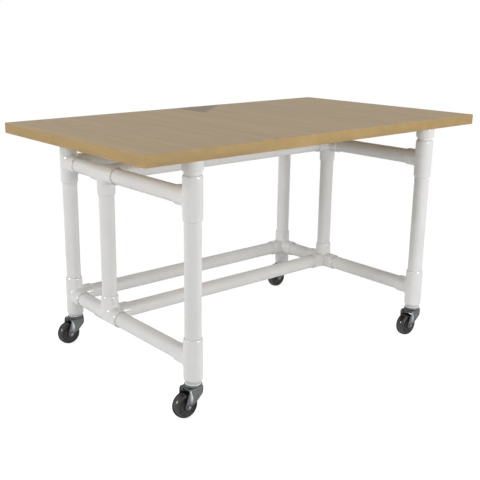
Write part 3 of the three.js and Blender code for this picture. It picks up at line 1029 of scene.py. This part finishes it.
# %% Fork sheet
SHEET = 2.5 * MM
CROWN_TOP = 90.0 * MM
CROWN_HALF = 24.0 * MM
CHEEK_HALF = 19.5 * MM
CHEEK_FOOT = 20 * MM
AXLE_HEIGHT = 38.25 * MM
TRAIL = 30.0 * MM
NOSE = 21.5 * MM
NOSE_ROUND = 6.0 * MM
NOSE_TURN = (20, 40, 60, 80)
BEND_SOFTNESS = 5.5 * MM
SHEET_BACK = 50 * MM
BEND_LINE = [
    (CHEEK_HALF, CHEEK_FOOT), (CHEEK_HALF, AXLE_HEIGHT), (CROWN_HALF, CROWN_TOP),
    (-CROWN_HALF, CROWN_TOP), (-CHEEK_HALF, AXLE_HEIGHT), (-CHEEK_HALF, CHEEK_FOOT),
]


def extrude(*way):
    bpy.ops.mesh.extrude_region_move(TRANSFORM_OT_translate={"value": way})


def close_up():
    select_all()
    bpy.ops.mesh.normals_make_consistent(inside=False)
    mode("OBJECT")


def bent_sheet():
    sheet = drawn_line([Vector((-SHEET_BACK, y, z)) for y, z in BEND_LINE])
    pick(sheet, "verts", lambda vert: vert.co.z > CROWN_TOP - 0.1 * MM)
    bpy.ops.mesh.bevel(offset=BEND_SOFTNESS, segments=5, affect="VERTICES")
    select_all()
    front = NOSE - NOSE_ROUND
    extrude(front + SHEET_BACK, 0, 0)
    here, width = front, 1.0
    for degrees in NOSE_TURN:
        angle = math.radians(degrees)
        ahead = front + NOSE_ROUND * math.sin(angle)
        narrowed = 1 - NOSE_ROUND * (1 - math.cos(angle)) / CROWN_HALF
        extrude(ahead - here, 0, 0)
        bpy.ops.transform.resize(value=(1, narrowed / width, 1), center_override=(ahead, 0, 0))
        here, width = ahead, narrowed
    close_up()
    crown = max(sheet.data.polygons, key=lambda face: face.center.z)
    apply_modifier(sheet, "SOLIDIFY", thickness=SHEET, offset=-1 if crown.normal.z > 0 else 1)
    return sheet


fork = bent_sheet()
fork.name = "caster_fork_pressing"
print("fork sheet", [round(v / MM, 1) for v in fork.dimensions], "mm")

# %% [markdown]
# The outline of the cheeks is cut out with a second solid, as a blanking die would do it: a round
# boss about the axle, a straight heel up to the crown, and a curve in front of the boss up to the
# nose.

# %% Fork outline
HEEL = 29.5 * MM
HEEL_TOP = CROWN_TOP - 4 * MM
BOSS = 10.0 * MM
KNEE = Vector((2 * MM, 0, AXLE_HEIGHT + 5.75 * MM))
DIE_FRONT = NOSE + 2 * MM
DIE_TOP = CROWN_TOP + 5 * MM
DIE_HALF = 40 * MM
NOSE_FOOT = Vector((DIE_FRONT, 0, CROWN_TOP - 14.0 * MM))
CURVE_STEPS = 10


def fork_outline():
    heel = [(DIE_FRONT, DIE_TOP), (-HEEL, DIE_TOP), (-HEEL, HEEL_TOP), (-TRAIL - BOSS, AXLE_HEIGHT)]
    corners = [Vector((x, 0, z)) for x, z in heel]
    for step in range(1, CURVE_STEPS + 1):
        angle = math.pi * (1 + step / CURVE_STEPS)
        x, z = BOSS * math.cos(angle), BOSS * math.sin(angle)
        corners.append(Vector((-TRAIL + x, 0, AXLE_HEIGHT + z)))
    start = corners[-1]
    for step in range(1, CURVE_STEPS + 1):
        t = step / CURVE_STEPS
        corners.append(start * (1 - t) ** 2 + KNEE * 2 * t * (1 - t) + NOSE_FOOT * t**2)
    die = drawn_line([corner + Vector((0, -DIE_HALF, 0)) for corner in corners])
    select_all()
    bpy.ops.mesh.edge_face_add()
    extrude(0, 2 * DIE_HALF, 0)
    close_up()
    return die


combine(fork, "INTERSECT", fork_outline())
print("fork sheet cut to", len(fork.data.polygons), "faces")

# %% [markdown]
# A broad rib is pressed out of each cheek from the crown to the axle, where it ends in a round boss
# with a flat seat for the bolt. It could be sculpted, but a formula keeps both cheeks alike.

# %% Fork rib
RIB_PROUD = 3.4 * MM
RIB_TOP = CROWN_TOP - 6 * MM
RIB_HEEL, HEEL_LEAN = -38.5 * MM, 7 * MM
RIB_FRONT, FRONT_LEAN = -21 * MM, -3 * MM
RIB_BELLY, BELLY_SKEW = 7 * MM, 0.8
DOME_POWER = 2.5
RIB_END, RIB_FADE = CROWN_TOP - 4 * MM, 5 * MM
BOLT_SEAT, SEAT_SLOPE = 5.8 * MM, 2 * MM


def share_of(length, whole):
    return np.clip(length / whole, 0, 1)


def eased(share):
    return share * share * (3 - 2 * share)


def across_rib(x, z):
    rise = share_of(z - AXLE_HEIGHT, RIB_TOP - AXLE_HEIGHT)
    heel = RIB_HEEL + HEEL_LEAN * rise
    front = RIB_FRONT + FRONT_LEAN * rise + RIB_BELLY * np.sin(rise**BELLY_SKEW * math.pi)
    return x - (heel + front) / 2, (front - heel) / 2


def rib_height(x, z):
    off_middle, half = across_rib(x, z)
    below = np.clip(AXLE_HEIGHT - z, 0, None)
    dome = 1 - share_of(np.hypot(off_middle, below), half) ** DOME_POWER
    fade = share_of(RIB_END - z, RIB_FADE)
    flat = share_of(np.hypot(x + TRAIL, z - AXLE_HEIGHT) - BOLT_SEAT, SEAT_SLOPE)
    return RIB_PROUD * dome * eased(fade) * eased(flat)


print("rib", RIB_PROUD / MM, "mm proud")

# %% [markdown]
# The rib gets a painted reflection in a purple grey, and along the front of its crest a painted
# highlight in a brighter grey. The sheet is remeshed to small even faces, which also rounds its cut
# edges as tumbling does. Every corner on a cheek is pushed out by the height of the rib at that
# place, and the share of painted reflection and highlight is stored with it.

# %% Press the fork
INNER_SIDE, OUTER_SIDE = 15 * MM, 17 * MM
RIB_BLUR = 0.12
CREST_START, CREST_WIDTH = -0.55, 0.85
FOOT_START, FOOT_FADE = 8 * MM, 20 * MM
BRIGHT_END, BRIGHT_FADE = CROWN_TOP - 2 * MM, 4 * MM


def painted_rib_highlight(x, z):
    off_middle, half = across_rib(x, z)
    off = off_middle / half
    on_rib = share_of(1 - np.abs(off), RIB_BLUR) * (z > AXLE_HEIGHT - BOSS)
    crest = share_of(off - CREST_START, CREST_WIDTH)
    foot = share_of(z - AXLE_HEIGHT - FOOT_START, FOOT_FADE)
    top = share_of(BRIGHT_END - z, BRIGHT_FADE)
    return on_rib * (RIB_SHARE + (1 - RIB_SHARE) * crest * foot * top)


apply_modifier(fork, "REMESH", mode="VOXEL", voxel_size=0.7 * MM)
apply_modifier(fork, "SMOOTH", factor=0.5, iterations=4)
points = read_points(fork)
x, y, z = points.T
y += np.sign(y) * share_of(np.abs(y) - INNER_SIDE, MM) * rib_height(x, z)
# The share of painted reflection and highlight on the rib is stored on each corner.
burnish = fork.data.attributes.new("burnish", "FLOAT", "POINT")
burnish.data.foreach_set("value", share_of(np.abs(y) - OUTER_SIDE, MM) * painted_rib_highlight(x, z))
write_points(fork, points)
apply_modifier(fork, "SMOOTH", factor=0.5, iterations=3)
smooth_shaded(fork, degrees=60)
print("fork pressed,", len(fork.data.polygons), "faces")

# %% [markdown]
# The swivel race is the round cup on the crown in which the balls run. Its rim stands a little
# wider than the pipe above, and the stem goes up from it into the plug. A second cup under the
# crown holds the lower balls, and the riveted end of the stem stands out of it just in front of the
# wheel. All this is round, so one turned section does it.

# %% Swivel race and stem
race_section = [
    (0, 72.0, 0), (8.5, 72.0, 1.5), (8.5, 77.0, 0.8), (16.5, 77.0, 1.5), (19.5, 80.5, 1.5),
    (19.5, 88.6, 0), (23.0, 89.0, 0), (24.5, 90.6, 0.8), (26.4, 91.2, 0.6), (26.5, 95.0, 0.8),
    (24.6, 96.6, 0.8), (5.5, 96.8, 0), (5.5, 128.0, 1.2), (0, 129.2, 0),
]
race = turned("swivel_race", race_section)
fork.data.materials.append(fork_steel)
race.data.materials.append(fork_steel)
select_only(fork)
race.select_set(True)
bpy.ops.object.join()
print("fork with its race,", len(fork.data.polygons), "faces")

# %% [markdown]
# ## The wheel
#
# The wheel has a black plastic core with a softer tread. Black still needs a texture: fine dust
# greys it and dulls it in specks. The running surface is rolled smooth and glossy, while the sides
# keep the duller skin of the mould, so the tread gets a finish of its own.

# %% Black finishes
DUST_TINT = (1.6, 1.5, 1.45)
DUST_START, DUST_FULL = 0.35, 0.75


def black_finish(name, shade, gloss, shine, speck):
    finish, tree, shader, place = new_finish(name)
    dust = noise(tree, place, speck, detail=6.0)
    dusty = [shade * part for part in DUST_TINT]
    tint = ramp(tree, dust, (DUST_START, [shade] * 3), (DUST_FULL, dusty))
    tree.links.new(tint, shader.inputs["Base Color"])
    roughened(tree, shader, dust, gloss, spread=0.10)
    bumped(tree, shader, dust, **FINE_BUMP)
    gloss_fading_to_outline(tree, shader, shine, gone=0.60)
    return finish


core_black = black_finish("black_wheel_core", shade=0.022, gloss=0.34, shine=0.26, speck=140.0)
# The tread's deeper black is partly its own compound, partly a painted dark reflection at the outer
# ring.
tread_black = black_finish("black_wheel_tread", shade=0.006, gloss=0.15, shine=0.64, speck=260.0)
print("blacks:", core_black.name, tread_black.name)

# %% [markdown]
# From the side the wheel shows a dark outer ring, a dished web and a raised hub. Half of the
# section is drawn and then mirrored, so both sides are alike. The tread is slightly rounded, and
# that makes its highlight a soft band.

# %% Wheel
WHEEL_RADIUS = 38.25
TREAD_START = 32.5 * MM
half_section = [
    (4.3, -16.5, 0), (11.2, -16.5, 0.8), (12.4, -12.0, 0.8), (19.0, -11.2, 1.5), (26.0, -12.6, 2.0),
    (28.8, -15.7, 1.0), (32.0, -15.9, 1.5), (35.2, -12.6, 1.0), (36.4, -10.25, 0), (37.35, -7.4, 0),
    (38.0, -4.5, 0), (WHEEL_RADIUS, -2.0, 0),
]
other_half = [(r, -h, soft) for r, h, soft in reversed(half_section)]
wheel_section = half_section + other_half + [half_section[0]]
wheel = turned("caster_wheel", wheel_section, steps=120, axis="Y")
for finish in (core_black, tread_black):
    wheel.data.materials.append(finish)
for face in wheel.data.polygons:
    if math.hypot(face.center.x, face.center.z) > TREAD_START:
        face.material_index = 1
print("wheel", [round(v / MM, 1) for v in wheel.dimensions], "mm")

# %% [markdown]
# ## The axle bolt
#
# A hexagon bolt holds the wheel, with its head outside one cheek and a nut outside the other. The
# start is a six-sided cylinder. A bevel would follow its edges, but the chamfer of a real bolt is a
# cone, so a turned gauge with a conical end cuts it off the outer corners.

# %% Hexagons
HEX_CORNER = 5.6
CHAMFER_RADIUS = 4.6
CHAMFER_SLOPE = math.tan(math.radians(30))
CLEAR = 1.0


def hexagon(name, y_start, y_end):
    away = math.copysign(1, y_end)
    inner, outer = y_start / MM - away * CLEAR, y_end / MM
    wide = HEX_CORNER + CLEAR
    shoulder = outer - away * (wide - CHAMFER_RADIUS) * CHAMFER_SLOPE
    rim = [(0, inner), (wide, inner), (wide, shoulder), (CHAMFER_RADIUS, outer), (0, outer)]
    gauge_section = [(r, h, 0) for r, h in rim]
    gauge = turned(name + "_gauge", gauge_section, steps=64, axis="Y")
    deselect()
    far_end = y_end + away * CLEAR * MM
    bpy.ops.mesh.primitive_cylinder_add(
        vertices=6,
        radius=HEX_CORNER * MM,
        depth=abs(far_end - y_start),
        location=(0, (y_start + far_end) / 2, 0),
        rotation=(math.pi / 2, 0, 0),
    )
    block = bpy.context.object
    block.name = name
    settle()
    combine(block, "INTERSECT", gauge)
    return block


print("hexagons", 2 * HEX_CORNER, "mm over the corners")

# %% [markdown]
# The head, the shank and the nut are united to one solid, and the end of the thread stands out of
# the nut. Three loose meshes would overlap inside.

# %% Axle bolt
HEAD_SIDE = CHEEK_HALF + 0.3 * MM
HEAD_DEPTH = 4.5 * MM

bolt = hexagon("axle_bolt", -HEAD_SIDE, -HEAD_SIDE - HEAD_DEPTH)
nut = hexagon("nut", HEAD_SIDE, HEAD_SIDE + HEAD_DEPTH)
shank_section = [(0, -20.5, 0), (4.0, -20.5, 0), (4.0, 24.6, 0.5), (0, 24.9, 0)]
shank = turned("shank", shank_section, steps=48, axis="Y")
for other in (shank, nut):
    combine(bolt, "UNION", other)
select_only(bolt)
mode("EDIT")
weld()
mode("OBJECT")
smooth_shaded(bolt, degrees=25)
bolt.data.materials.clear()
bolt.data.materials.append(bolt_zinc)
print("bolt", [round(v / MM, 1) for v in bolt.dimensions], "mm")

# %% [markdown]
# Every corner gets a fork, a wheel and a bolt. The fork turns about the foot pipe above it, and the
# wheel trails behind that line. They are copies, so each can ride on its own body.

# %% Place the casters
for corner in CORNERS:
    pivot = centre_of(f"foot_pipe_{corner}")
    stand = Matrix.Translation((pivot.x, pivot.y, 0))
    axle = Matrix.Translation((pivot.x - TRAIL, pivot.y, AXLE_HEIGHT))
    for pattern, kind, ending, slot, spot in (
        (fork, "caster_fork", "_pressing", "fork", stand),
        (wheel, "caster_wheel", "_turned", "wheel", axle),
        (bolt, "caster_axle", "_bolt", "axle", axle),
    ):
        node = f"{kind}_{corner}"
        stands_for(copy_of(pattern, node + ending, spot), node)
for pattern in (fork, wheel, bolt):
    bpy.data.objects.remove(pattern)
print("4 casters placed")

# %% [markdown]
# ## Last step
#
# Last, the view layer is brought up to date, so every piece stands in its place.

# %% Finish
bpy.context.view_layer.update()
